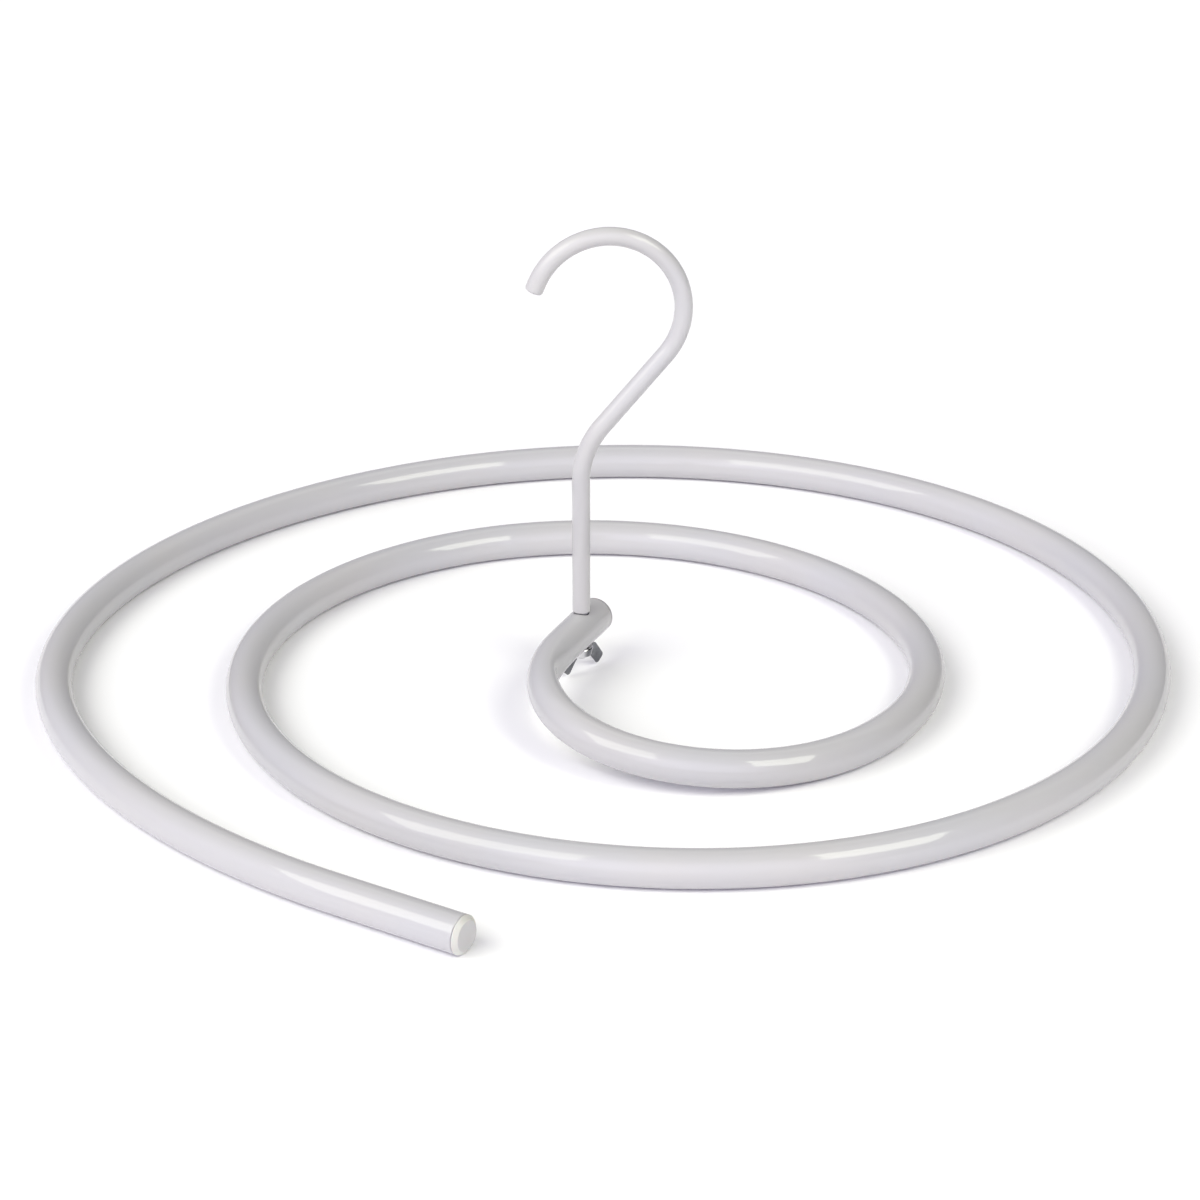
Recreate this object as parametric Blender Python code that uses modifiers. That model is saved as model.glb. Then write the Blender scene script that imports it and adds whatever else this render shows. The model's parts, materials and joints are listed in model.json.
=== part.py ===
"""Spiral drying rack: one bent hollow tube with plugged ends, hung from a rod hook held by a wing nut.

Metres, +Z up. The rack lies on z = 0 with its origin under the middle of its outline, and its outer
tube end points to the front, -Y. The hook stands on the raised inner end of the tube: its shoulder
rests on the tube, its threaded stud goes down through a cross-drilled hole, and the wing nut holds
it from below.
"""

import math

import bmesh
import bpy
from mathutils import Matrix, Vector

# Clearance between neighbouring pieces
FIT_GAP = 0.0003
CUT_OVERRUN = 0.002
WELD_DISTANCE = 0.00001

# Tube
TUBE_DIAMETER = 0.013
TUBE_WALL = 0.001
TUBE_BEVEL_RESOLUTION = 5
TUBE_SIDES = 4 + 2 * TUBE_BEVEL_RESOLUTION

# The tube's bending: a straight tail, turns whose radius is read every TURN_STEP, a straight end
TAIL_LENGTH = 0.0488
TAIL_HEADING = 146.9
BEND_RADIUS = 0.200
TURN_STEP = 50.0
TURN_RADIUS_SHARES = (1.52, 0.72, 1.10, 0.96, 0.89, 0.89, 0.80, 0.82, 0.68,
                      0.63, 0.57, 0.63, 0.50, 0.41, 0.28, 0.26, 0.34)
DEGREES_PER_RING = 5.0
END_LENGTH = 0.0301
END_RINGS = 6

# The inner end rises so that the nut under it clears the ground
RISE_HEIGHT = 0.0101
RISE_LENGTH = 0.2017
LEVEL_LENGTH = 0.0195

# The tight bend before the inner end presses the tube's inner wall in, deepest in a crease
CREASE_DEPTH = 0.0028
CREASE_SETBACK = 0.0220
CREASE_END_LENGTH = 0.0230
CREASE_TURN_LENGTH = 0.0550

# End plugs
PLUG_FACE_DIAMETER = 0.0098
PLUG_HEAD_THICKNESS = 0.0015
PLUG_LIP_THICKNESS = 0.0003
PLUG_SHANK_LENGTH = 0.0100
PLUG_RIB_HEIGHT = 0.0004
PLUG_RIB_LENGTH = 0.0014
PLUG_RIBS = 3
PLUG_EDGE_STEPS = 4

# Hook
SEAT_SETBACK = 0.0125
ROD_DIAMETER = 0.0064
ROD_BEVEL_RESOLUTION = 5
ROD_DEGREES_PER_RING = 9.0
STEM_LENGTH = 0.0500
STEM_BEND_RADIUS = 0.0310
STEM_BEND_ANGLE = 40.4
DIAGONAL_LENGTH = 0.0336
HOOK_RADIUS = 0.0262
HOOK_ANGLE = 197.5
TIP_LENGTH = 0.0030
TIP_ROUNDING = 0.0010
TIP_STEPS = 3
HOOK_AZIMUTH = 5.0

# Threaded stud below the hook's shoulder
STUD_DIAMETER = 0.0050
STUD_LENGTH = 0.0178
STUD_CHAMFER = 0.0004
STUD_SIDES = 24

# Wing nut
NUT_HUB_DIAMETER = 0.0084
NUT_HUB_END_DIAMETER = 0.0074
NUT_HUB_HEIGHT = 0.0034
NUT_HUB_CHAMFER = 0.0004
NUT_HUB_SIDES = 24
WING_SPAN = 0.0206
WING_HEIGHT = 0.0093
WING_THICKNESS = 0.0016
WING_CORNER_RADIUS = 0.0013
WING_CORNER_STEPS = 5
WING_EDGE_ROUNDING = 0.0004
WING_AZIMUTH = 46.0
# Corners of one wing: outward as shares of half the span, downward as shares of the height
WING_CORNER_SHARES = ((0.14, 0.03), (0.62, 0.02), (1.03, 0.67), (0.70, 1.01), (0.35, 0.50), (0.14, 0.33))

COATING_COLOUR = (0.80, 0.79, 0.80, 1.0)
PLUG_COLOUR = (0.80, 0.79, 0.78, 1.0)
ZINC_COLOUR = (0.42, 0.43, 0.45, 1.0)


def clear_scene():
    for item in list(bpy.data.objects):
        bpy.data.objects.remove(item, do_unlink=True)


def new_collection(name):
    group = bpy.data.collections.new(name)
    bpy.context.scene.collection.children.link(group)
    return group


def new_material(name, colour, roughness, metallic):
    material = bpy.data.materials.new(name)
    material.use_nodes = True
    shader = material.node_tree.nodes["Principled BSDF"]
    shader.inputs["Base Color"].default_value = colour
    shader.inputs["Roughness"].default_value = roughness
    shader.inputs["Metallic"].default_value = metallic
    material.diffuse_color = colour
    return material


def mesh_object(name, mesh, group, material=None):
    item = bpy.data.objects.new(name, mesh)
    group.objects.link(item)
    if material:
        mesh.materials.clear()
        mesh.materials.append(material)
    return item


def shade_round(item, angle=40.0):
    item.data.shade_smooth()
    item.data.set_sharp_from_angle(angle=math.radians(angle))


def as_guide(item):
    item.hide_render = True
    item.display_type = "WIRE"


def poly_curve(name, points, radius, bevel_resolution, group, capped, radius_shares=None):
    """A round bar or tube wall along the points."""
    curve = bpy.data.curves.new(name, "CURVE")
    curve.dimensions = "3D"
    curve.bevel_depth = radius
    curve.bevel_resolution = bevel_resolution
    curve.use_fill_caps = capped
    spline = curve.splines.new("POLY")
    spline.points.add(len(points) - 1)
    for index, place in enumerate(points):
        spline.points[index].co = (place.x, place.y, place.z, 1.0)
        if radius_shares:
            spline.points[index].radius = radius_shares[index]
    item = bpy.data.objects.new(name, curve)
    group.objects.link(item)
    return item


def curve_to_mesh(item, group, material):
    """Replaces a curve object by its welded mesh, under the same name and in the same place."""
    name = item.name
    bpy.context.view_layer.update()
    evaluated = item.evaluated_get(bpy.context.evaluated_depsgraph_get())
    mesh = bpy.data.meshes.new_from_object(evaluated)
    place = item.matrix_world.copy()
    bpy.data.objects.remove(item, do_unlink=True)
    shape = bmesh.new()
    shape.from_mesh(mesh)
    bmesh.ops.remove_doubles(shape, verts=shape.verts, dist=WELD_DISTANCE)
    bmesh.ops.recalc_face_normals(shape, faces=shape.faces)
    shape.to_mesh(mesh)
    shape.free()
    made = mesh_object(name, mesh, group, material)
    made.matrix_world = place
    return made


def turned_object(name, profile, steps, group, material):
    """A profile of (radius, height) points, top to bottom, turned about its Z axis."""
    mesh = bpy.data.meshes.new(name)
    shape = bmesh.new()
    corners = [shape.verts.new((radius, 0, height)) for radius, height in profile]
    for upper, lower in zip(corners, corners[1:]):
        shape.edges.new((upper, lower))
    shape.to_mesh(mesh)
    shape.free()
    item = mesh_object(name, mesh, group, material)
    screw = item.modifiers.new("turned", "SCREW")
    screw.steps = steps
    screw.render_steps = steps
    screw.use_merge_vertices = True
    screw.merge_threshold = WELD_DISTANCE
    screw.use_smooth_shade = False
    return item


def add_boolean(item, operand, operation):
    step = item.modifiers.new(operand.name, "BOOLEAN")
    step.operation = operation
    step.solver = "EXACT"
    step.object = operand


def direction(heading):
    return Vector((math.cos(math.radians(heading)), math.sin(math.radians(heading)), 0))


def turn_radius(turned):
    """Bend radius after the tube has turned this many degrees, eased between the table's entries."""
    place = min(turned / TURN_STEP, len(TURN_RADIUS_SHARES) - 1)
    index = min(int(place), len(TURN_RADIUS_SHARES) - 2)
    before, after = TURN_RADIUS_SHARES[index], TURN_RADIUS_SHARES[index + 1]
    return BEND_RADIUS * (before + (after - before) * (place - index))


def tube_plan():
    """Centreline seen from above, from the outer end inward, and the heading at its inner end."""
    heading = TAIL_HEADING
    points = [Vector((0, 0, 0)), direction(heading) * TAIL_LENGTH]
    rings = round(TURN_STEP * (len(TURN_RADIUS_SHARES) - 1) / DEGREES_PER_RING)
    for ring in range(rings):
        radius = turn_radius((ring + 0.5) * DEGREES_PER_RING)
        chord = 2 * radius * math.sin(math.radians(DEGREES_PER_RING) / 2)
        points.append(points[-1] + direction(heading - DEGREES_PER_RING / 2) * chord)
        heading -= DEGREES_PER_RING
    bend_end = points[-1]
    for ring in range(END_RINGS):
        points.append(bend_end + direction(heading) * END_LENGTH * (ring + 1) / END_RINGS)
    return points, heading


def rise_at(distance_to_end):
    """Height of the centreline above the flat turns, eased in and out."""
    share = (RISE_LENGTH - distance_to_end) / (RISE_LENGTH - LEVEL_LENGTH)
    share = min(max(share, 0), 1)
    return RISE_HEIGHT * share * share * (3 - 2 * share)


def distances_to_end(points):
    """Length of tube left after each point, seen from above."""
    distances = [0]
    for here, there in zip(points[::-1], points[-2::-1]):
        distances.append(distances[-1] + (there.xy - here.xy).length)
    return distances[::-1]


def tube_centreline():
    points, heading = tube_plan()
    for place, distance in zip(points, distances_to_end(points)):
        place.z = TUBE_DIAMETER / 2 + rise_at(distance)
    return points, heading


def crease_at(distance_to_end):
    """How far the inner wall is pressed in."""
    offset = distance_to_end - END_LENGTH - CREASE_SETBACK
    reach = CREASE_TURN_LENGTH if offset > 0 else CREASE_END_LENGTH
    return CREASE_DEPTH * max(1 - abs(offset) / reach, 0) ** 2


def press_inner_wall(tube, points):
    """Flattens the tube on the inner side of its last bend, ring by ring."""
    depths = [crease_at(distance) for distance in distances_to_end(points)]
    pressed = [index for index, depth in enumerate(depths) if depth > 0]
    for corner in tube.data.vertices:
        index = min(pressed, key=lambda ring: (corner.co - points[ring]).length)
        offset = corner.co - points[index]
        if offset.length > TUBE_DIAMETER:
            continue
        along = points[index + 1] - points[index - 1]
        inward = Vector((along.y, -along.x, 0)).normalized()
        share = max(offset.dot(inward) / (TUBE_DIAMETER / 2), 0)
        corner.co -= inward * depths[index] * share * share


def make_spiral_tube(points, seat, group, cutters, root):
    # The flats of the section lie on the true diameter, so the tube rests on them
    corner_radius = TUBE_DIAMETER / 2 / math.cos(math.pi / TUBE_SIDES)
    wall = poly_curve("spiral_tube", points, corner_radius, TUBE_BEVEL_RESOLUTION, group, capped=False)
    wall.data.twist_mode = "Z_UP"
    tube = curve_to_mesh(wall, group, new_material("tube_coating", COATING_COLOUR, 0.35, 0.0))
    press_inner_wall(tube, points)
    shell = tube.modifiers.new("wall", "SOLIDIFY")
    shell.thickness = TUBE_WALL
    shell.offset = -1
    shell.use_even_offset = True
    drill_length = TUBE_DIAMETER + 2 * CUT_OVERRUN
    drill_radius = STUD_DIAMETER / 2 + FIT_GAP
    drill = turned_object("stud_drill", ((0, drill_length / 2), (drill_radius, drill_length / 2),
                          (drill_radius, -drill_length / 2), (0, -drill_length / 2)), STUD_SIDES, cutters, None)
    drill.location = seat
    as_guide(drill)
    drill.parent = root
    add_boolean(tube, drill, "DIFFERENCE")
    tube.parent = root
    shade_round(tube)
    return tube


def plug_profile():
    """Chamfered head with a thin lip, then a ribbed shank: (radius, height) from the face down."""
    head_radius = TUBE_DIAMETER / 2 / math.cos(math.pi / TUBE_SIDES)
    face_radius = PLUG_FACE_DIAMETER / 2
    edge_width = head_radius - face_radius
    edge_height = PLUG_HEAD_THICKNESS - PLUG_LIP_THICKNESS
    rib_radius = TUBE_DIAMETER / 2 - TUBE_WALL - FIT_GAP
    shank_radius = rib_radius - PLUG_RIB_HEIGHT
    profile = [(0, PLUG_HEAD_THICKNESS)]
    for step in range(PLUG_EDGE_STEPS + 1):
        angle = math.radians(90) * step / PLUG_EDGE_STEPS
        profile.append((face_radius + edge_width * math.sin(angle),
                        PLUG_LIP_THICKNESS + edge_height * math.cos(angle)))
    profile.append((head_radius, 0))
    profile.append((shank_radius, 0))
    pitch = PLUG_SHANK_LENGTH / (PLUG_RIBS + 1)
    for rib in range(PLUG_RIBS):
        top = -pitch * (rib + 0.5)
        profile.append((shank_radius, top))
        profile.append((rib_radius, top))
        profile.append((shank_radius, top - PLUG_RIB_LENGTH))
    profile.append((shank_radius, -PLUG_SHANK_LENGTH))
    profile.append((0, -PLUG_SHANK_LENGTH))
    return profile


def make_plug(name, end, inward, group, root):
    """A plug in the tube end at this place, its shank pointing inward."""
    plug = turned_object(name, plug_profile(), TUBE_SIDES, group,
                         new_material(name + "_plastic", PLUG_COLOUR, 0.45, 0.0))
    outward = -inward.normalized()
    lateral = Vector((-outward.y, outward.x, 0)).normalized()
    turn = Matrix((lateral, outward.cross(lateral), outward)).transposed().to_4x4()
    plug.matrix_world = Matrix.Translation(end + outward * FIT_GAP) @ turn
    plug.parent = root
    plug.data.shade_smooth()
    return plug


def hook_path():
    """Rod centreline in the hook's own XZ plane, with the share of the full radius at each point."""
    heading = 0.0
    place = Vector((0, 0, FIT_GAP))
    points = [place]

    def run(length):
        points.append(points[-1] + Vector((math.sin(heading), 0, math.cos(heading))) * length)

    run(STEM_LENGTH)
    for radius, angle, side in ((STEM_BEND_RADIUS, STEM_BEND_ANGLE, 1), (HOOK_RADIUS, HOOK_ANGLE, -1)):
        rings = max(round(angle / ROD_DEGREES_PER_RING), 1)
        turn = math.radians(angle) / rings
        for _ring in range(rings):
            heading += side * turn / 2
            run(2 * radius * math.sin(turn / 2))
            heading += side * turn / 2
        if side > 0:
            run(DIAGONAL_LENGTH)
    run(TIP_LENGTH - TIP_ROUNDING)
    shares = [1.0] * len(points)
    tip = points[-1]
    along = Vector((math.sin(heading), 0, math.cos(heading)))
    for step in range(TIP_STEPS):
        angle = math.radians(90) * (step + 1) / TIP_STEPS
        points.append(tip + along * TIP_ROUNDING * math.sin(angle))
        shares.append(1 - TIP_ROUNDING * (1 - math.cos(angle)) / (ROD_DIAMETER / 2))
    return points, shares


def make_hook(seat_top, group, cutters, root):
    points, shares = hook_path()
    rod = poly_curve("hook", points, ROD_DIAMETER / 2, ROD_BEVEL_RESOLUTION, group, capped=True,
                     radius_shares=shares)
    hook = curve_to_mesh(rod, group, new_material("hook_coating", COATING_COLOUR, 0.35, 0.0))
    stud_radius = STUD_DIAMETER / 2
    stud_end = FIT_GAP - STUD_LENGTH
    stud = turned_object("hook_stud", ((0, FIT_GAP + CUT_OVERRUN), (stud_radius, FIT_GAP + CUT_OVERRUN),
                         (stud_radius, stud_end + STUD_CHAMFER), (stud_radius - STUD_CHAMFER, stud_end),
                         (0, stud_end)), STUD_SIDES, cutters, None)
    as_guide(stud)
    stud.parent = hook
    add_boolean(hook, stud, "UNION")
    hook.parent = root
    hook.location = seat_top
    hook.rotation_euler = (0, 0, math.radians(HOOK_AZIMUTH))
    shade_round(hook)
    return hook


def rounded_outline(corners, radius, steps):
    """The polygon's points with every corner replaced by an arc."""
    outline = []
    for index, corner in enumerate(corners):
        back = (corners[index - 1] - corner).normalized()
        ahead = (corners[(index + 1) % len(corners)] - corner).normalized()
        half = back.angle(ahead) / 2
        middle = corner + (back + ahead).normalized() * radius / math.sin(half)
        start = corner + back * radius / math.tan(half) - middle
        sweep = start.angle_signed(corner + ahead * radius / math.tan(half) - middle)
        for step in range(steps + 1):
            outline.append(middle + Matrix.Rotation(-sweep * step / steps, 2) @ start)
    return outline


def make_wing(name, azimuth, cutters):
    """One wing as a flat outline of half the wing's thickness to each side, standing on the nut's axis."""
    corners = [Vector((outward * WING_SPAN / 2, -downward * WING_HEIGHT))
               for outward, downward in WING_CORNER_SHARES]
    outline = rounded_outline(corners, WING_CORNER_RADIUS, WING_CORNER_STEPS)
    curve = bpy.data.curves.new(name, "CURVE")
    curve.dimensions = "2D"
    curve.fill_mode = "BOTH"
    curve.extrude = WING_THICKNESS / 2
    spline = curve.splines.new("POLY")
    spline.points.add(len(outline) - 1)
    spline.use_cyclic_u = True
    for index, place in enumerate(outline):
        spline.points[index].co = (place.x, place.y, 0, 1.0)
    plate = bpy.data.objects.new(name, curve)
    cutters.objects.link(plate)
    wing = curve_to_mesh(plate, cutters, None)
    wing.rotation_euler = (math.radians(90), 0, math.radians(azimuth))
    edge = wing.modifiers.new("soft_edge", "BEVEL")
    edge.width = WING_EDGE_ROUNDING
    edge.segments = 2
    edge.limit_method = "ANGLE"
    edge.angle_limit = math.radians(50)
    as_guide(wing)
    return wing


def make_wing_nut(bearing, group, cutters, root):
    """The hub hangs down from its bearing face, at the object's own origin."""
    top, end = NUT_HUB_DIAMETER / 2, NUT_HUB_END_DIAMETER / 2
    profile = ((0, 0), (top - NUT_HUB_CHAMFER, 0), (top, -NUT_HUB_CHAMFER),
               (end, NUT_HUB_CHAMFER - NUT_HUB_HEIGHT), (end - NUT_HUB_CHAMFER, -NUT_HUB_HEIGHT),
               (0, -NUT_HUB_HEIGHT))
    nut = turned_object("wing_nut", profile, NUT_HUB_SIDES, group,
                        new_material("nut_zinc", ZINC_COLOUR, 0.3, 1.0))
    for name, azimuth in (("wing_back", 0), ("wing_front", 180)):
        wing = make_wing(name, azimuth, cutters)
        wing.parent = nut
        add_boolean(nut, wing, "UNION")
    bore_radius = STUD_DIAMETER / 2 + FIT_GAP
    bore = turned_object("nut_bore", ((0, CUT_OVERRUN), (bore_radius, CUT_OVERRUN),
                         (bore_radius, -WING_HEIGHT - CUT_OVERRUN), (0, -WING_HEIGHT - CUT_OVERRUN)),
                         NUT_HUB_SIDES, cutters, None)
    as_guide(bore)
    bore.parent = nut
    add_boolean(nut, bore, "DIFFERENCE")
    nut.parent = root
    nut.location = bearing
    nut.rotation_euler = (0, 0, math.radians(WING_AZIMUTH))
    nut.data.shade_smooth()
    return nut


def centre_on_origin(root, parts):
    """Moves the whole rack so that its outline's middle stands over the origin."""
    bpy.context.view_layer.update()
    depsgraph = bpy.context.evaluated_depsgraph_get()
    corners = []
    for part in parts:
        evaluated = part.evaluated_get(depsgraph)
        mesh = evaluated.to_mesh()
        corners += [evaluated.matrix_world @ corner.co for corner in mesh.vertices]
        evaluated.to_mesh_clear()
    for axis in (0, 1):
        values = [corner[axis] for corner in corners]
        root.location[axis] -= (min(values) + max(values)) / 2
    bpy.context.view_layer.update()


def main():
    clear_scene()
    group = new_collection("spiral_drying_rack")
    cutters = new_collection("cutters")
    root = bpy.data.objects.new("rack", None)
    group.objects.link(root)

    points, heading = tube_centreline()
    seat = points[-1] - direction(heading) * SEAT_SETBACK
    up = Vector((0, 0, TUBE_DIAMETER / 2))
    tube = make_spiral_tube(points, seat, group, cutters, root)
    parts = [
        tube,
        make_plug("outer_end_plug", points[0], points[1] - points[0], group, root),
        make_plug("inner_end_plug", points[-1], points[-2] - points[-1], group, root),
        make_hook(seat + up, group, cutters, root),
        make_wing_nut(seat - up - Vector((0, 0, FIT_GAP)), group, cutters, root),
    ]
    centre_on_origin(root, parts)
    for part in parts:
        print(part.name, [round(value, 5) for value in part.matrix_world.translation])
    print("seat", [round(value, 5) for value in root.location + seat])


main()
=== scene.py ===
"""Looks of the spiral drying rack: smooth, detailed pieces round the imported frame, in metres."""

import json
import math

import bmesh
import bpy
from mathutils import Matrix, Quaternion, Vector

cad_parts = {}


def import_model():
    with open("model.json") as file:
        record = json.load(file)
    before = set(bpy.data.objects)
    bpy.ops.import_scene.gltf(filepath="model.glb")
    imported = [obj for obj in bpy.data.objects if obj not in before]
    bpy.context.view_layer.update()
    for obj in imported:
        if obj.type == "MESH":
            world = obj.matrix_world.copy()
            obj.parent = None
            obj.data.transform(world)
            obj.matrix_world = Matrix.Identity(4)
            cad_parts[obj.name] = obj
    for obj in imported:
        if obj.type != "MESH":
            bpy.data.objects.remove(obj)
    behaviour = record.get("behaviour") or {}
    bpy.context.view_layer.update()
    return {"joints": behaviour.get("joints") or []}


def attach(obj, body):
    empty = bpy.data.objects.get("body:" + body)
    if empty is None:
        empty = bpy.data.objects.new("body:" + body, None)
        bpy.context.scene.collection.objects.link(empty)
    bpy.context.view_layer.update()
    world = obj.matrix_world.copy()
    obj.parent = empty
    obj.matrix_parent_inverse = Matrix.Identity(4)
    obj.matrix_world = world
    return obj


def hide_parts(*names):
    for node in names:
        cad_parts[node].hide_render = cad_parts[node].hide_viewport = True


# Clearance between neighbouring pieces, as in the frame
FIT_GAP = 0.0003

# Faces that meet at a sharper angle than this are shaded with an edge
SMOOTH_ANGLE = 40.0

# Tube
TUBE_DIAMETER = 0.013
TUBE_WALL = 0.001
TUBE_SIDES = 40
BORE_SIDES = TUBE_SIDES // 2
TUBE_EDGE_ROUNDING = 0.00025

# The tube's bending, as in the frame, with finer rings between the frame's own
TAIL_LENGTH = 0.0488
TAIL_HEADING = 146.9
BEND_RADIUS = 0.200
TURN_STEP = 50.0
TURN_RADIUS_SHARES = (1.52, 0.72, 1.10, 0.96, 0.89, 0.89, 0.80, 0.82, 0.68,
                      0.63, 0.57, 0.63, 0.50, 0.41, 0.28, 0.26, 0.34)
DEGREES_PER_BEND = 5.0
RINGS_PER_BEND = 4
TAIL_RINGS = 16
END_LENGTH = 0.0301
END_RINGS = 24
RISE_HEIGHT = 0.0101
RISE_LENGTH = 0.2017
LEVEL_LENGTH = 0.0195

# The tight bend before the inner end presses the tube's inner wall in, deepest in a crease
CREASE_DEPTH = 0.0028
CREASE_SETBACK = 0.0220
CREASE_END_LENGTH = 0.0230
CREASE_TURN_LENGTH = 0.0550

# End plugs
PLUG_SIDES = 56
PLUG_FACE_DIAMETER = 0.0100
PLUG_HEAD_THICKNESS = 0.0015
PLUG_LIP_THICKNESS = 0.0002
PLUG_LIP_TAPER = PLUG_LIP_THICKNESS / 3
PLUG_CORNER_ROUNDING = 0.00022
PLUG_CORNER_STEPS = 5
PLUG_SHANK_LENGTH = 0.0100
PLUG_RIB_HEIGHT = 0.0004
PLUG_RIB_LENGTH = 0.0014
PLUG_RIBS = 3
PLUG_SMOOTH_ANGLE = 50.0

# Hook, with its stem 0.4 mm shorter and its straight tip 0.4 mm longer than the frame's
SEAT_SETBACK = 0.0125
ROD_DIAMETER = 0.0064
ROD_SIDES = 36
ROD_STRAIGHT_RINGS = 12
DEGREES_PER_ROD_RING = 2.0
STEM_LENGTH = 0.0496
STEM_BEND_RADIUS = 0.0310
STEM_BEND_ANGLE = 40.4
DIAGONAL_LENGTH = 0.0336
HOOK_RADIUS = 0.0262
HOOK_ANGLE = 197.5
TIP_LENGTH = 0.0034
TIP_ROUNDING = 0.0010
TIP_STEPS = 8
HOOK_AZIMUTH = 5.0
SHOULDER_ROUNDING = 0.0003

# Threaded stud
STUD_DIAMETER = 0.0050
STUD_LENGTH = 0.0178
STUD_CHAMFER = 0.0006
STUD_SIDES = 48
THREAD_PITCH = 0.0008
THREAD_DEPTH = 0.00045
THREAD_FLANK_SLOPE = 2.6
THREAD_STEPS = 10
THREAD_LENGTH = 0.0125
STUD_SMOOTH_ANGLE = 60.0

# Wing nut
NUT_HUB_DIAMETER = 0.0084
NUT_HUB_END_DIAMETER = 0.0074
NUT_HUB_HEIGHT = 0.0034
NUT_HUB_CHAMFER = 0.0004
NUT_HUB_SIDES = 48
NUT_BORE_DIAMETER = 0.0053
NUT_BORE_CHAMFER = 0.0005
WING_SPAN = 0.0206
WING_HEIGHT = 0.0093
WING_THICKNESS = 0.0016
WING_CORNER_RADIUS = 0.0013
WING_CORNER_STEPS = 8
WING_AZIMUTH = 46.0
WING_CORNER_SHARES = ((0.14, 0.03), (0.62, 0.02), (1.03, 0.67), (0.70, 1.01), (0.35, 0.50), (0.14, 0.33))
CASTING_VOXEL = 0.00018
CASTING_SMOOTHING = 0.5
CASTING_SMOOTHING_STEPS = 5
NUT_SMOOTH_ANGLE = 35.0

# How far a drill reaches past the face that it starts from
CUT_OVERRUN = 0.002

# Patterns are (features a metre, octaves), bumps are (height, strength), and flatness runs between two
# cosines. Tones and roughness run from one to the other over these ranges of the noise
CLOUD_RANGE = (0.35, 0.65)
PATCH_RANGE = (0.3, 0.7)

# Powder coat: a warm and a cool tone in faint clouds
TUBE_TONES = ((0.483, 0.469, 0.475), (0.474, 0.466, 0.484))
HOOK_TONES = ((0.488, 0.475, 0.478), (0.480, 0.471, 0.486))
TUBE_SEED = 1.0
HOOK_SEED = 7.0
COAT_CLOUDS = (22.0, 3.0)
COAT_PATCHES = (90.0, 4.0)
COAT_ROUGHNESS = (0.045, 0.075)
COAT_WAVES = (110.0, 1.0)
COAT_WAVE_BUMP = (0.00012, 0.2)
COAT_PEEL = (700.0, 2.0)
COAT_PEEL_BUMP = (0.00003, 0.25)
COAT_IOR = 1.45

# Plug plastic: two tones of the rim, and one of the face; the face's greyer tone is painted shade
OUTER_PLUG_TONES = ((0.60, 0.592, 0.555), (0.57, 0.562, 0.535), (0.495, 0.483, 0.490))
# The inner plug's tones are darker all over than the outer's: painted shade, for the shadow that it lies in
INNER_PLUG_TONES = ((0.475, 0.463, 0.468), (0.46, 0.45, 0.458), (0.46, 0.448, 0.462))
PLUG_SEED = 4.0
PLUG_CLOUDS = (160.0, 3.0)
PLUG_FACE_FLATNESS = (0.86, 0.98)
PLUG_PATCHES = (500.0, 3.0)
PLUG_ROUGHNESS = (0.34, 0.46)
PLUG_GRAIN = (3200.0, 2.0)
PLUG_GRAIN_BUMP = (0.00002, 0.4)
PLUG_SUBSURFACE_WEIGHT = 0.1
PLUG_SUBSURFACE_SCALE = 0.001

# Zinc plate: two tones of the flat faces, dark partly as the plate's own dark grey and partly as a painted
# dark reflection, and one bright tone of everything else, a painted reflection of the floor
NUT_TONES = ((0.24, 0.245, 0.26), (0.15, 0.155, 0.165), (0.85, 0.85, 0.86))
STUD_TONES = ((0.3, 0.3, 0.32), (0.2, 0.2, 0.22), (0.45, 0.45, 0.47))
NUT_SEED = 11.0
STUD_SEED = 15.0
ZINC_CLOUDS = (420.0, 4.0)
ZINC_FLATNESS = (0.82, 0.97)
ZINC_PATCHES = (900.0, 5.0)
ZINC_ROUGHNESS = (0.08, 0.2)
ZINC_PITS = (2600.0, 3.0)
ZINC_PIT_BUMP = (0.00002, 0.35)

# Floor
FLOOR_SIZE = 14.0
FLOOR_COLOUR = (0.965, 0.955, 0.975)
FLOOR_ROUGHNESS = 0.9
FLOOR_SPECULAR = 0.1

# Room light: azimuth (0 = +Y, clockwise), elevation, degrees to the glow's edge, degrees to its full
# strength, strength
ROOM_GLOWS = ((180, 20, 50, 10, 1.76), (-125, 10, 60, 15, 0.71), (-75, 30, 50, 10, 0.72),
              (0, 15, 60, 15, 0.42))
ROOM_COLOUR = (0.99, 0.957, 1.14)

# Softboxes: azimuth, elevation and distance from the aim point, width, height, roll, watts
SOFTBOXES = {"softbox_left": (-128, 41, 1.8, 1.25, 1.15, 25, 16.8),
             "softbox_right": (130, 43, 1.8, 0.75, 1.0, -25, 14.1)}
SOFTBOX_COLOUR = (1.0, 1.035, 0.87)

# Light over the floor behind the rack, as the softboxes, but from a point behind the aim point
BACKDROP_LIGHT = (0, 90, 1.1, 3.4, 0.8, 0, 4.8)
BACKDROP_SETBACK = 1.0
BACKDROP_SPREAD = 105
BACKDROP_COLOUR = (1.0, 1.0, 0.92)

# Camera: aimed at a point on the floor, measured from the hook's axis
AIM_FROM_HOOK = (0.0066, 0.0629)
CAMERA_DISTANCE = 1.3547
CAMERA_PITCH = 23.65
CAMERA_LENS = 109.05
CAMERA_SENSOR = 36.0


def direction(heading):
    return Vector((math.cos(math.radians(heading)), math.sin(math.radians(heading)), 0))


# Materials

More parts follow.
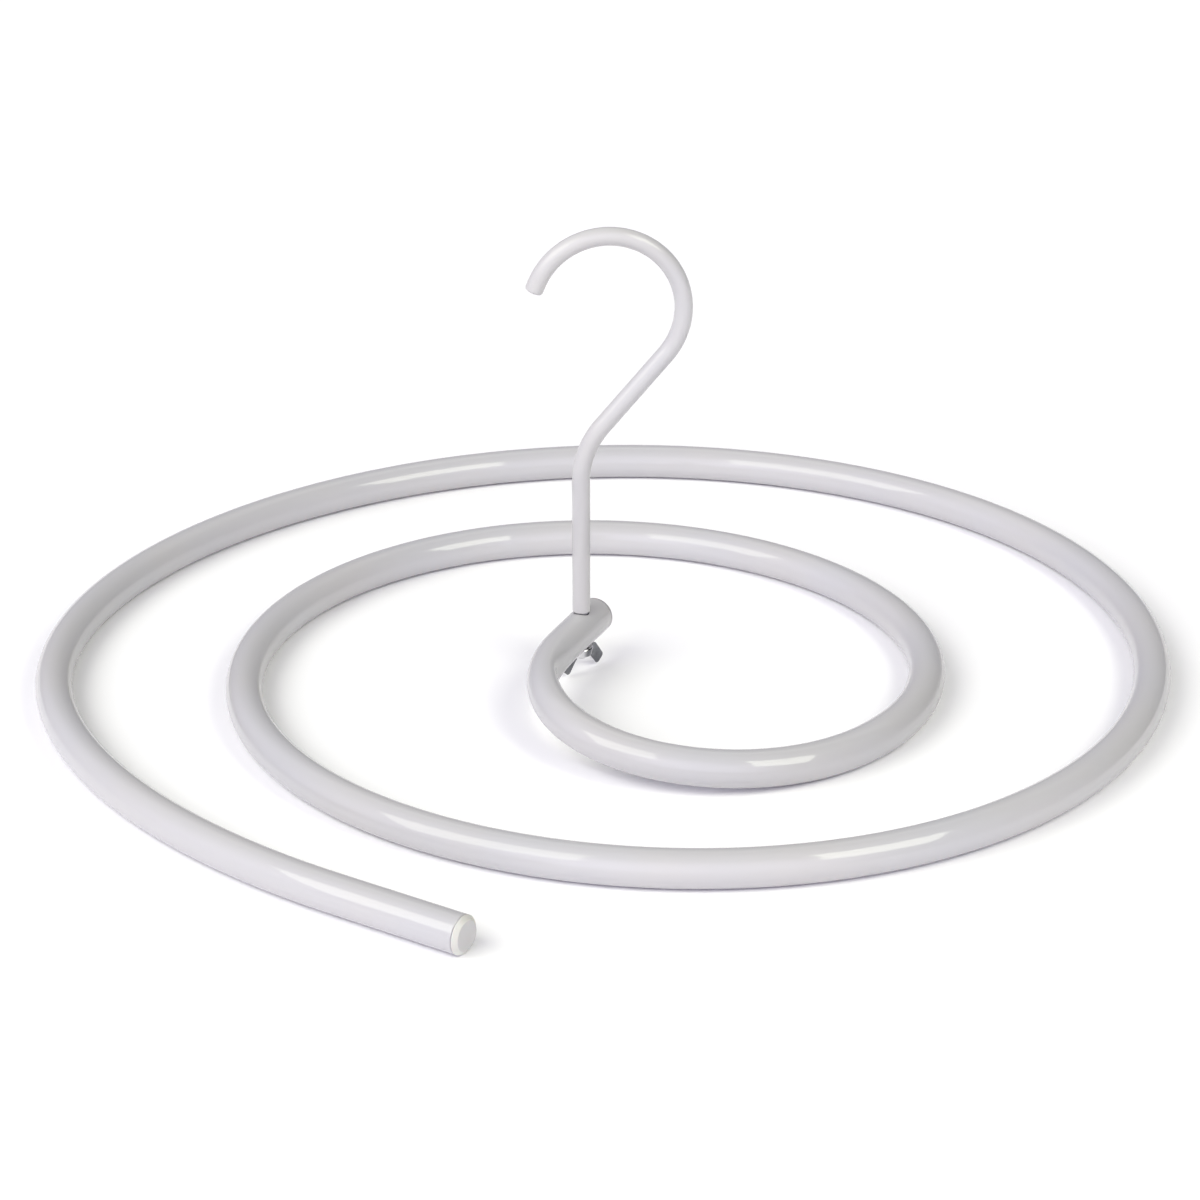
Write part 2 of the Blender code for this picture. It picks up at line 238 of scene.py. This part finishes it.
class Look:
    """A node material in the making, with its patterns laid over the object's own coordinates."""

    def __init__(self, name):
        self.material = bpy.data.materials.new(name)
        self.material.use_nodes = True
        self.nodes = self.material.node_tree.nodes
        self.links = self.material.node_tree.links
        self.shader = self.nodes["Principled BSDF"]
        self.coordinates = self.nodes.new("ShaderNodeTexCoord").outputs

    def set(self, name, value):
        """A number or colour for a socket of the shader, or an output that feeds it."""
        if isinstance(value, bpy.types.NodeSocket):
            self.links.new(value, self.shader.inputs[name])
        else:
            self.shader.inputs[name].default_value = value

    def noise(self, pattern, seed):
        """Noise of so many features a metre, in so many octaves."""
        features, octaves = pattern
        texture = self.nodes.new("ShaderNodeTexNoise")
        texture.noise_dimensions = "4D"
        texture.inputs["W"].default_value = seed
        texture.inputs["Scale"].default_value = features
        texture.inputs["Detail"].default_value = octaves
        self.links.new(self.coordinates["Object"], texture.inputs["Vector"])
        return texture.outputs["Fac"]

    def remap(self, value, source, target=(0.0, 1.0)):
        """Carries the source range over to the target range, and holds it at both ends."""
        ramp = self.nodes.new("ShaderNodeMapRange")
        for name, number in zip(("From Min", "From Max", "To Min", "To Max"), (*source, *target)):
            ramp.inputs[name].default_value = number
        self.links.new(value, ramp.inputs["Value"])
        return ramp.outputs["Result"]

    def mix(self, factor, first, second):
        """From the first colour to the second, each a tone or an output."""
        mix = self.nodes.new("ShaderNodeMix")
        mix.data_type = "RGBA"
        self.links.new(factor, mix.inputs["Factor"])
        for socket, colour in ((mix.inputs["A"], first), (mix.inputs["B"], second)):
            if isinstance(colour, tuple):
                socket.default_value = (*colour, 1.0)
            else:
                self.links.new(colour, socket)
        return mix.outputs["Result"]

    def clouds(self, pattern, seed, first, second):
        """Two tones in soft clouds."""
        return self.mix(self.remap(self.noise(pattern, seed), CLOUD_RANGE), first, second)

    def patches(self, pattern, seed, roughness):
        """Uneven gloss between two roughnesses."""
        self.set("Roughness", self.remap(self.noise(pattern, seed), PATCH_RANGE, roughness))

    def bump(self, pattern, seed, bump, base=None):
        """A normal roughened by noise, on top of the base normal if there is one."""
        height, strength = bump
        node = self.nodes.new("ShaderNodeBump")
        node.inputs["Distance"].default_value = height
        node.inputs["Strength"].default_value = strength
        self.links.new(self.noise(pattern, seed), node.inputs["Height"])
        if base:
            self.links.new(base, node.inputs["Normal"])
        return node.outputs["Normal"]

    def flatness(self, way, limits):
        """1 on faces that look along this way or back along it, 0 on those turned away."""
        along = self.nodes.new("ShaderNodeVectorMath")
        along.operation = "DOT_PRODUCT"
        along.inputs[1].default_value = way.normalized()
        self.links.new(self.coordinates["Normal"], along.inputs[0])
        size = self.nodes.new("ShaderNodeMath")
        size.operation = "ABSOLUTE"
        self.links.new(along.outputs["Value"], size.inputs[0])
        return self.remap(size.outputs["Value"], limits)


def coating_material(name, tones, seed):
    """Gloss powder coat: orange peel, faint clouds of two tones and a slightly uneven gloss."""
    look = Look(name)
    look.set("Base Color", look.clouds(COAT_CLOUDS, seed, *tones))
    look.patches(COAT_PATCHES, seed + 1, COAT_ROUGHNESS)
    waves = look.bump(COAT_WAVES, seed + 3, COAT_WAVE_BUMP)
    look.set("Normal", look.bump(COAT_PEEL, seed + 2, COAT_PEEL_BUMP, waves))
    look.set("IOR", COAT_IOR)
    return look.material


def plug_material(name, tones, axis):
    """Satin moulded plastic with a very fine spark-eroded grain and a face greyed as painted shade."""
    look = Look(name)
    rim, rim_dark, face = tones
    # Faces that look along the plug's axis take the face tone: painted shade on the flat face
    painted_face_shade = look.flatness(axis, PLUG_FACE_FLATNESS)
    look.set("Base Color", look.mix(painted_face_shade, look.clouds(PLUG_CLOUDS, PLUG_SEED, rim, rim_dark), face))
    look.patches(PLUG_PATCHES, PLUG_SEED + 1, PLUG_ROUGHNESS)
    look.set("Normal", look.bump(PLUG_GRAIN, PLUG_SEED + 2, PLUG_GRAIN_BUMP))
    look.set("Subsurface Weight", PLUG_SUBSURFACE_WEIGHT)
    look.set("Subsurface Scale", PLUG_SUBSURFACE_SCALE)
    return look.material


def zinc_material(name, tones, flat_way, seed):
    """Polished plate on steel: flat faces that look along flat_way take dark tones, partly a painted dark
    reflection, and everywhere else takes a bright tone, a painted reflection of the floor.
    """
    look = Look(name)
    light, dark, edge = tones
    flat = look.flatness(flat_way, ZINC_FLATNESS)
    # Painted reflections set by the way each face turns: dark on the flat faces, bright on all others
    look.set("Base Color", look.mix(flat, edge, look.clouds(ZINC_CLOUDS, seed, light, dark)))
    look.set("Metallic", 1.0)
    look.patches(ZINC_PATCHES, seed + 1, ZINC_ROUGHNESS)
    look.set("Normal", look.bump(ZINC_PITS, seed + 2, ZINC_PIT_BUMP))
    return look.material


def floor_material():
    look = Look("floor_paper")
    look.set("Base Color", (*FLOOR_COLOUR, 1.0))
    look.set("Roughness", FLOOR_ROUGHNESS)
    look.set("Specular IOR Level", FLOOR_SPECULAR)
    return look.material


# Mesh helpers

def object_from(shape, name, material, smooth_angle=SMOOTH_ANGLE):
    mesh = bpy.data.meshes.new(name)
    bmesh.ops.recalc_face_normals(shape, faces=shape.faces)
    shape.to_mesh(mesh)
    shape.free()
    mesh.shade_smooth()
    mesh.set_sharp_from_angle(angle=math.radians(smooth_angle))
    if material:
        mesh.materials.append(material)
    item = bpy.data.objects.new(name, mesh)
    bpy.context.scene.collection.objects.link(item)
    return item


def add_rings(shape, points, radii, sides, reference, dents=None):
    """Rings of vertices round a path, square to it; reference is never along the path.

    Each ring's first vertex lies to the left of the path, seen against the reference. A dent presses
    the ring's right side in by so much.
    """
    rings = []
    last = len(points) - 1
    for index, place in enumerate(points):
        along = (points[min(index + 1, last)] - points[max(index - 1, 0)]).normalized()
        left = reference.cross(along).normalized()
        second = along.cross(left)
        dent = dents[index] if dents else 0
        ring = []
        for side in range(sides):
            angle = 2 * math.pi * side / sides
            across = radii[index] * math.cos(angle) + dent * min(math.cos(angle), 0) ** 2
            ring.append(shape.verts.new(place + left * across + second * radii[index] * math.sin(angle)))
        rings.append(ring)
    return rings


def join_rings(shape, rings):
    for here, there in zip(rings, rings[1:]):
        for side in range(len(here)):
            after = (side + 1) % len(here)
            shape.faces.new((here[side], here[after], there[after], there[side]))


def join_end_rings(shape, outer, inner):
    """Closes the flat band between a ring and one inside it with half as many sides."""
    for side in range(len(inner)):
        after = (side + 1) % len(inner)
        shape.faces.new((outer[2 * side], outer[2 * side + 1], outer[2 * after], inner[after], inner[side]))


def turned(name, profile, sides, material, smooth_angle=SMOOTH_ANGLE):
    """A (radius, height) profile, top to bottom, turned about Z and closed on the axis."""
    shape = bmesh.new()
    rings = []
    for radius, height in profile:
        if radius == 0:
            rings.append([shape.verts.new((0, 0, height))])
            continue
        rings.append([shape.verts.new((radius * math.cos(2 * math.pi * side / sides),
                                       radius * math.sin(2 * math.pi * side / sides), height))
                      for side in range(sides)])
    for upper, lower in zip(rings, rings[1:]):
        for side in range(sides):
            after = (side + 1) % sides
            corners = [upper[side % len(upper)], upper[after % len(upper)],
                       lower[after % len(lower)], lower[side % len(lower)]]
            shape.faces.new(list(dict.fromkeys(corners)))
    return object_from(shape, name, material, smooth_angle)


def apply_modifiers(item):
    """Makes the evaluated mesh the object's own."""
    depsgraph = bpy.context.evaluated_depsgraph_get()
    mesh = bpy.data.meshes.new_from_object(item.evaluated_get(depsgraph))
    item.modifiers.clear()
    item.data = mesh


def cut(item, cutter, operation="DIFFERENCE"):
    """Takes the cutter out of the item, or joins it on, and removes the cutter."""
    step = item.modifiers.new(cutter.name, "BOOLEAN")
    step.operation = operation
    step.solver = "EXACT"
    step.object = cutter
    bpy.context.view_layer.update()
    apply_modifiers(item)
    bpy.data.objects.remove(cutter, do_unlink=True)


# Tube

def turn_radius(turned_by):
    place = min(turned_by / TURN_STEP, len(TURN_RADIUS_SHARES) - 1)
    index = min(int(place), len(TURN_RADIUS_SHARES) - 2)
    before, after = TURN_RADIUS_SHARES[index], TURN_RADIUS_SHARES[index + 1]
    return BEND_RADIUS * (before + (after - before) * (place - index))


def tube_plan():
    """Centreline seen from above, from the outer end inward, and the heading at its inner end."""
    heading = TAIL_HEADING
    points = [direction(heading) * TAIL_LENGTH * ring / TAIL_RINGS for ring in range(TAIL_RINGS + 1)]
    step = DEGREES_PER_BEND / RINGS_PER_BEND
    bends = round(TURN_STEP * (len(TURN_RADIUS_SHARES) - 1) / DEGREES_PER_BEND)
    for bend in range(bends):
        radius = turn_radius((bend + 0.5) * DEGREES_PER_BEND)
        chord = 2 * radius * math.sin(math.radians(step) / 2)
        for _ring in range(RINGS_PER_BEND):
            points.append(points[-1] + direction(heading - step / 2) * chord)
            heading -= step
    bend_end = points[-1]
    for ring in range(END_RINGS):
        points.append(bend_end + direction(heading) * END_LENGTH * (ring + 1) / END_RINGS)
    return points, heading


def rise_at(distance_to_end):
    share = (RISE_LENGTH - distance_to_end) / (RISE_LENGTH - LEVEL_LENGTH)
    share = min(max(share, 0), 1)
    return RISE_HEIGHT * share * share * (3 - 2 * share)


def distances_to_end(points):
    """Length of tube left after each point, seen from above."""
    distances = [0]
    for here, there in zip(points[::-1], points[-2::-1]):
        distances.append(distances[-1] + (there.xy - here.xy).length)
    return distances[::-1]


def crease_at(distance_to_end):
    """How far the inner wall is pressed in."""
    offset = distance_to_end - END_LENGTH - CREASE_SETBACK
    reach = CREASE_TURN_LENGTH if offset > 0 else CREASE_END_LENGTH
    return CREASE_DEPTH * max(1 - abs(offset) / reach, 0) ** 2


def tube_centreline(seat):
    """The tube's centreline in the frame, whose hook axis crosses it at the seat."""
    points, heading = tube_plan()
    for place, distance in zip(points, distances_to_end(points)):
        place.z = TUBE_DIAMETER / 2 + rise_at(distance)
    crossing = points[-1] - direction(heading) * SEAT_SETBACK
    shift = Vector((seat.x - crossing.x, seat.y - crossing.y, 0))
    return [place + shift for place in points]


def make_tube(points, seat, material):
    """Round tube with its bore, softened end edges and the drilled hole for the stud."""
    shape = bmesh.new()
    radius, bore = TUBE_DIAMETER / 2, TUBE_DIAMETER / 2 - TUBE_WALL
    ends = [(points[1] - points[0]).normalized(), (points[-2] - points[-1]).normalized()]
    first_edge = [points[0], points[0] + ends[0] * TUBE_EDGE_ROUNDING]
    last_edge = [points[-1] + ends[1] * TUBE_EDGE_ROUNDING, points[-1]]
    path = first_edge + points[1:-1] + last_edge
    radii = [radius - TUBE_EDGE_ROUNDING] + [radius] * (len(path) - 2) + [radius - TUBE_EDGE_ROUNDING]
    up = Vector((0, 0, 1))
    dents = [crease_at(distance) for distance in distances_to_end(path)]
    outer = add_rings(shape, path, radii, TUBE_SIDES, up, dents)
    inner_path = points[:1] + points[1:-1:2] + points[-1:]
    dents = [crease_at(distance) for distance in distances_to_end(inner_path)]
    inner = add_rings(shape, inner_path, [bore] * len(inner_path), BORE_SIDES, up, dents)
    join_rings(shape, outer)
    join_rings(shape, inner)
    join_end_rings(shape, outer[0], inner[0])
    join_end_rings(shape, outer[-1], inner[-1])
    tube = object_from(shape, "tube_shell", material)
    drill_radius = STUD_DIAMETER / 2 + FIT_GAP
    reach = TUBE_DIAMETER / 2 + CUT_OVERRUN
    drill = turned("stud_drill", ((0, reach), (drill_radius, reach), (drill_radius, -reach), (0, -reach)),
                   STUD_SIDES, None)
    drill.location = seat
    cut(tube, drill)
    tube.data.set_sharp_from_angle(angle=math.radians(SMOOTH_ANGLE))
    return tube


# Plugs

def plug_profile():
    """Bevelled head with softened corners and a thin lip, then the ribbed shank, from the face down."""
    head = TUBE_DIAMETER / 2
    face = PLUG_FACE_DIAMETER / 2
    rib = TUBE_DIAMETER / 2 - TUBE_WALL - FIT_GAP
    shank = rib - PLUG_RIB_HEIGHT
    profile = [(0, PLUG_HEAD_THICKNESS), (face / 2, PLUG_HEAD_THICKNESS)]
    bevel = Vector((head - face, PLUG_LIP_THICKNESS - PLUG_HEAD_THICKNESS))
    for corner, before, after in (((face, PLUG_HEAD_THICKNESS), Vector((-1, 0)), bevel.normalized()),
                                  ((head, PLUG_LIP_THICKNESS), -bevel.normalized(), Vector((0, -1)))):
        corner = Vector(corner)
        start = corner + before * PLUG_CORNER_ROUNDING
        end = corner + after * PLUG_CORNER_ROUNDING
        for step in range(PLUG_CORNER_STEPS + 1):
            share = step / PLUG_CORNER_STEPS
            place = start.lerp(corner, share).lerp(corner.lerp(end, share), share)
            profile.append(tuple(place))
    profile.append((head - PLUG_LIP_TAPER, 0))
    profile.append((shank, 0))
    pitch = PLUG_SHANK_LENGTH / (PLUG_RIBS + 1)
    for index in range(PLUG_RIBS):
        top = -pitch * (index + 0.5)
        profile += [(shank, top), (rib, top), (shank, top - PLUG_RIB_LENGTH)]
    profile += [(shank, -PLUG_SHANK_LENGTH), (0, -PLUG_SHANK_LENGTH)]
    return profile


def make_plug(name, end, inward, material):
    plug = turned(name, plug_profile(), PLUG_SIDES, material, PLUG_SMOOTH_ANGLE)
    outward = -inward.normalized()
    lateral = Vector((-outward.y, outward.x, 0)).normalized()
    turn = Matrix((lateral, outward.cross(lateral), outward)).transposed().to_4x4()
    plug.data.transform(Matrix.Translation(end + outward * FIT_GAP) @ turn)
    return plug


# Hook

def hook_path():
    """Rod centreline in the hook's own XZ plane, from the shoulder up, and its end heading."""
    heading = 0.0
    points = [Vector((0, 0, FIT_GAP))]

    def run(length):
        points.append(points[-1] + Vector((math.sin(heading), 0, math.cos(heading))) * length)

    for _ring in range(ROD_STRAIGHT_RINGS):
        run(STEM_LENGTH / ROD_STRAIGHT_RINGS)
    for radius, angle, side in ((STEM_BEND_RADIUS, STEM_BEND_ANGLE, 1), (HOOK_RADIUS, HOOK_ANGLE, -1)):
        rings = round(angle / DEGREES_PER_ROD_RING)
        turn = math.radians(angle) / rings
        for _ring in range(rings):
            heading += side * turn / 2
            run(2 * radius * math.sin(turn / 2))
            heading += side * turn / 2
        if side > 0:
            for _ring in range(ROD_STRAIGHT_RINGS):
                run(DIAGONAL_LENGTH / ROD_STRAIGHT_RINGS)
    return points, heading


def make_hook_rod(seat_top, material):
    """Bent rod with a rounded tip and a softened shoulder that stands on the tube."""
    points, heading = hook_path()
    radius = ROD_DIAMETER / 2
    radii = [radius] * len(points)
    along = Vector((math.sin(heading), 0, math.cos(heading)))
    points.append(points[-1] + along * (TIP_LENGTH - TIP_ROUNDING))
    radii.append(radius)
    tip = points[-1]
    for step in range(TIP_STEPS):
        angle = math.radians(90) * (step + 1) / TIP_STEPS
        points.append(tip + along * TIP_ROUNDING * math.sin(angle))
        radii.append(radius - TIP_ROUNDING * (1 - math.cos(angle)))
    foot = points[0].copy()
    points[0] = foot + Vector((0, 0, SHOULDER_ROUNDING))
    points.insert(0, foot)
    radii.insert(0, radius - SHOULDER_ROUNDING)
    shape = bmesh.new()
    rings = add_rings(shape, points, radii, ROD_SIDES, Vector((0, 1, 0)))
    join_rings(shape, rings)
    shape.faces.new(rings[0])
    shape.faces.new(rings[-1])
    rod = object_from(shape, "hook_rod", material)
    rod.data.transform(Matrix.Translation(seat_top) @ Matrix.Rotation(math.radians(HOOK_AZIMUTH), 4, "Z"))
    return rod


def make_stud(seat_top, material):
    """Stud below the shoulder, with a rolled thread on its lower stretch and a pointed lead-in."""
    shape = bmesh.new()
    radius = STUD_DIAMETER / 2
    bottom = FIT_GAP - STUD_LENGTH
    thread_top = bottom + THREAD_LENGTH
    rings = []
    heights = [FIT_GAP, thread_top + THREAD_PITCH]
    steps = round(THREAD_LENGTH / THREAD_PITCH * THREAD_STEPS)
    heights += [thread_top - THREAD_LENGTH * step / steps for step in range(steps + 1)]
    for height in heights:
        ring = []
        for side in range(STUD_SIDES):
            turn = side / STUD_SIDES
            phase = ((height - bottom) / THREAD_PITCH - turn) % 1.0
            groove = max(0.0, 1 - abs(phase - 0.5) * THREAD_FLANK_SLOPE)
            fade = min(max((thread_top - height) / THREAD_PITCH, 0.0), 1.0)
            lead = radius - STUD_CHAMFER + (height - bottom)
            reach = min(radius - THREAD_DEPTH * groove * fade, max(lead, 0))
            angle = 2 * math.pi * turn
            ring.append(shape.verts.new((reach * math.cos(angle), reach * math.sin(angle), height)))
        rings.append(ring)
    join_rings(shape, rings)
    shape.faces.new(rings[0])
    shape.faces.new(rings[-1])
    stud = object_from(shape, "hook_stud", material, STUD_SMOOTH_ANGLE)
    stud.data.transform(Matrix.Translation(seat_top))
    return stud


# Wing nut

def rounded_outline(corners, radius, steps):
    """The outline through these corners, each rounded to an arc."""
    outline = []
    for index, corner in enumerate(corners):
        back = (corners[index - 1] - corner).normalized()
        ahead = (corners[(index + 1) % len(corners)] - corner).normalized()
        half = back.angle(ahead) / 2
        middle = corner + (back + ahead).normalized() * radius / math.sin(half)
        start = corner + back * radius / math.tan(half) - middle
        sweep = start.angle_signed(corner + ahead * radius / math.tan(half) - middle)
        for step in range(steps + 1):
            outline.append(middle + Matrix.Rotation(-sweep * step / steps, 2) @ start)
    return outline


def make_wing(name, azimuth):
    """Flat wing, its outline upright in the plane of the nut's axis."""
    corners = [Vector((outward * WING_SPAN / 2, -downward * WING_HEIGHT))
               for outward, downward in WING_CORNER_SHARES]
    outline = rounded_outline(corners, WING_CORNER_RADIUS, WING_CORNER_STEPS)
    shape = bmesh.new()
    for y in (-WING_THICKNESS / 2, WING_THICKNESS / 2):
        shape.faces.new([shape.verts.new((place.x, y, place.y)) for place in outline])
    front, back = list(shape.faces)
    pairs = list(zip(front.verts, back.verts))
    for (here, there), (here_next, there_next) in zip(pairs, pairs[1:] + pairs[:1]):
        shape.faces.new((here, here_next, there_next, there))
    wing = object_from(shape, name, None)
    wing.rotation_euler = (0, 0, math.radians(azimuth))
    return wing


def make_wing_nut(bearing, material):
    """Cast wing nut: hub and wings run into each other with soft fillets, then the bore is cut."""
    top, end = NUT_HUB_DIAMETER / 2, NUT_HUB_END_DIAMETER / 2
    profile = ((0, 0), (top - NUT_HUB_CHAMFER, 0), (top, -NUT_HUB_CHAMFER),
               (end, NUT_HUB_CHAMFER - NUT_HUB_HEIGHT), (end - NUT_HUB_CHAMFER, -NUT_HUB_HEIGHT),
               (0, -NUT_HUB_HEIGHT))
    nut = turned("wing_nut_casting", profile, NUT_HUB_SIDES, None)
    for name, azimuth in (("wing_back", 0), ("wing_front", 180)):
        cut(nut, make_wing(name, azimuth), "UNION")
    remesh = nut.modifiers.new("casting", "REMESH")
    remesh.mode = "VOXEL"
    remesh.voxel_size = CASTING_VOXEL
    smooth = nut.modifiers.new("fillets", "SMOOTH")
    smooth.factor = CASTING_SMOOTHING
    smooth.iterations = CASTING_SMOOTHING_STEPS
    bpy.context.view_layer.update()
    apply_modifiers(nut)
    bore, mouth = NUT_BORE_DIAMETER / 2, NUT_BORE_DIAMETER / 2 + NUT_BORE_CHAMFER
    bottom = -WING_HEIGHT - CUT_OVERRUN
    profile = ((0, CUT_OVERRUN), (mouth, CUT_OVERRUN), (mouth, 0), (bore, -NUT_BORE_CHAMFER),
               (bore, NUT_BORE_CHAMFER - NUT_HUB_HEIGHT), (mouth, -NUT_HUB_HEIGHT),
               (mouth, bottom), (0, bottom))
    cut(nut, turned("nut_bore", profile, NUT_HUB_SIDES, None))
    nut.data.shade_smooth()
    nut.data.set_sharp_from_angle(angle=math.radians(NUT_SMOOTH_ANGLE))
    nut.data.materials.clear()
    nut.data.materials.append(material)
    nut.data.transform(Matrix.Translation(bearing) @ Matrix.Rotation(math.radians(WING_AZIMUTH), 4, "Z"))
    return nut


# Studio

def make_floor():
    shape = bmesh.new()
    corners = ((-1, -1), (1, -1), (1, 1), (-1, 1))
    shape.faces.new([shape.verts.new((x * FLOOR_SIZE / 2, y * FLOOR_SIZE / 2, 0)) for x, y in corners])
    object_from(shape, "floor", floor_material())


def facing(azimuth, elevation):
    """Direction towards this azimuth (0 = +Y, clockwise) and elevation."""
    around, up = math.radians(azimuth), math.radians(elevation)
    return Vector((math.sin(around) * math.cos(up), math.cos(around) * math.cos(up), math.sin(up)))


def soft_light(name, aim, azimuth, elevation, distance, width, height, roll, power, colour):
    """A softbox seen from the aim point at this azimuth and elevation, rolled by this many degrees."""
    light = bpy.data.lights.new(name, "AREA")
    light.shape = "RECTANGLE"
    light.size = width
    light.size_y = height
    light.energy = power
    light.color = colour
    item = bpy.data.objects.new(name, light)
    bpy.context.scene.collection.objects.link(item)
    away = facing(azimuth, elevation)
    item.location = aim + away * distance
    turn = away.to_track_quat("Z", "Y") @ Quaternion((0, 0, 1), math.radians(roll))
    item.rotation_euler = turn.to_euler()
    return item


def make_world():
    """Dim room with soft glows."""
    world = bpy.data.worlds.new("studio")
    bpy.context.scene.world = world
    world.use_nodes = True
    nodes, links = world.node_tree.nodes, world.node_tree.links
    place = nodes.new("ShaderNodeTexCoord").outputs["Generated"]
    total = None
    for azimuth, elevation, edge, full, strength in ROOM_GLOWS:
        towards = nodes.new("ShaderNodeVectorMath")
        towards.operation = "DOT_PRODUCT"
        towards.inputs[1].default_value = facing(azimuth, elevation)
        links.new(place, towards.inputs[0])
        glow = nodes.new("ShaderNodeMapRange")
        glow.interpolation_type = "SMOOTHSTEP"
        glow.inputs["From Min"].default_value = math.cos(math.radians(edge))
        glow.inputs["From Max"].default_value = math.cos(math.radians(full))
        glow.inputs["To Max"].default_value = strength
        links.new(towards.outputs["Value"], glow.inputs["Value"])
        if total is None:
            total = glow.outputs["Result"]
            continue
        add = nodes.new("ShaderNodeMath")
        links.new(total, add.inputs[0])
        links.new(glow.outputs["Result"], add.inputs[1])
        total = add.outputs["Value"]
    background = nodes["Background"]
    background.inputs["Color"].default_value = (*ROOM_COLOUR, 1.0)
    links.new(total, background.inputs["Strength"])


def make_camera(aim):
    camera = bpy.data.cameras.new("camera")
    camera.sensor_width = CAMERA_SENSOR
    camera.lens = CAMERA_LENS
    item = bpy.data.objects.new("camera", camera)
    bpy.context.scene.collection.objects.link(item)
    pitch = math.radians(CAMERA_PITCH)
    item.location = aim + Vector((0, -math.cos(pitch), math.sin(pitch))) * CAMERA_DISTANCE
    item.rotation_euler = (math.radians(90) - pitch, 0, 0)
    bpy.context.scene.camera = item


def dress(piece, body, node):
    """Puts the piece in the place of its node, on its body."""
    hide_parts(node)
    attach(piece, body)


def main():
    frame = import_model()
    joints = {joint["name"]: Vector(joint["pos_m"]) for joint in frame["joints"]}
    seat_top = joints["hook_swivel"]
    bearing = joints["nut_turn"]
    seat = seat_top - Vector((0, 0, TUBE_DIAMETER / 2))

    aim = Vector((seat.x + AIM_FROM_HOOK[0], seat.y + AIM_FROM_HOOK[1], 0))
    make_camera(aim)

    flat_way = facing(-WING_AZIMUTH, 0)
    tube_coating = coating_material("tube_coating_look", TUBE_TONES, TUBE_SEED)
    hook_coating = coating_material("hook_coating_look", HOOK_TONES, HOOK_SEED)
    nut_zinc = zinc_material("nut_zinc_look", NUT_TONES, flat_way, NUT_SEED)
    stud_zinc = zinc_material("stud_zinc_look", STUD_TONES, flat_way, STUD_SEED)

    points = tube_centreline(seat)
    outer_inward, inner_inward = points[1] - points[0], points[-2] - points[-1]
    outer_plastic = plug_material("outer_plug_look", OUTER_PLUG_TONES, outer_inward)
    inner_plastic = plug_material("inner_plug_look", INNER_PLUG_TONES, inner_inward)
    dress(make_tube(points, seat, tube_coating), "root", "spiral_tube")
    dress(make_plug("outer_plug_head", points[0], outer_inward, outer_plastic),
          "root", "outer_end_plug")
    dress(make_plug("inner_plug_head", points[-1], inner_inward, inner_plastic),
          "root", "inner_end_plug")
    dress(make_hook_rod(seat_top, hook_coating), "hook", "hook")
    dress(make_stud(seat_top, stud_zinc), "hook", "hook")
    dress(make_wing_nut(bearing, nut_zinc), "wing_nut", "wing_nut")

    make_floor()
    make_world()
    for name, row in SOFTBOXES.items():
        soft_light(name, aim, *row, SOFTBOX_COLOUR)
    behind = aim + Vector((0, BACKDROP_SETBACK, 0))
    backdrop = soft_light("backdrop_light", behind, *BACKDROP_LIGHT, BACKDROP_COLOUR)
    backdrop.data.spread = math.radians(BACKDROP_SPREAD)
    bpy.context.scene.view_settings.view_transform = "Standard"


main()
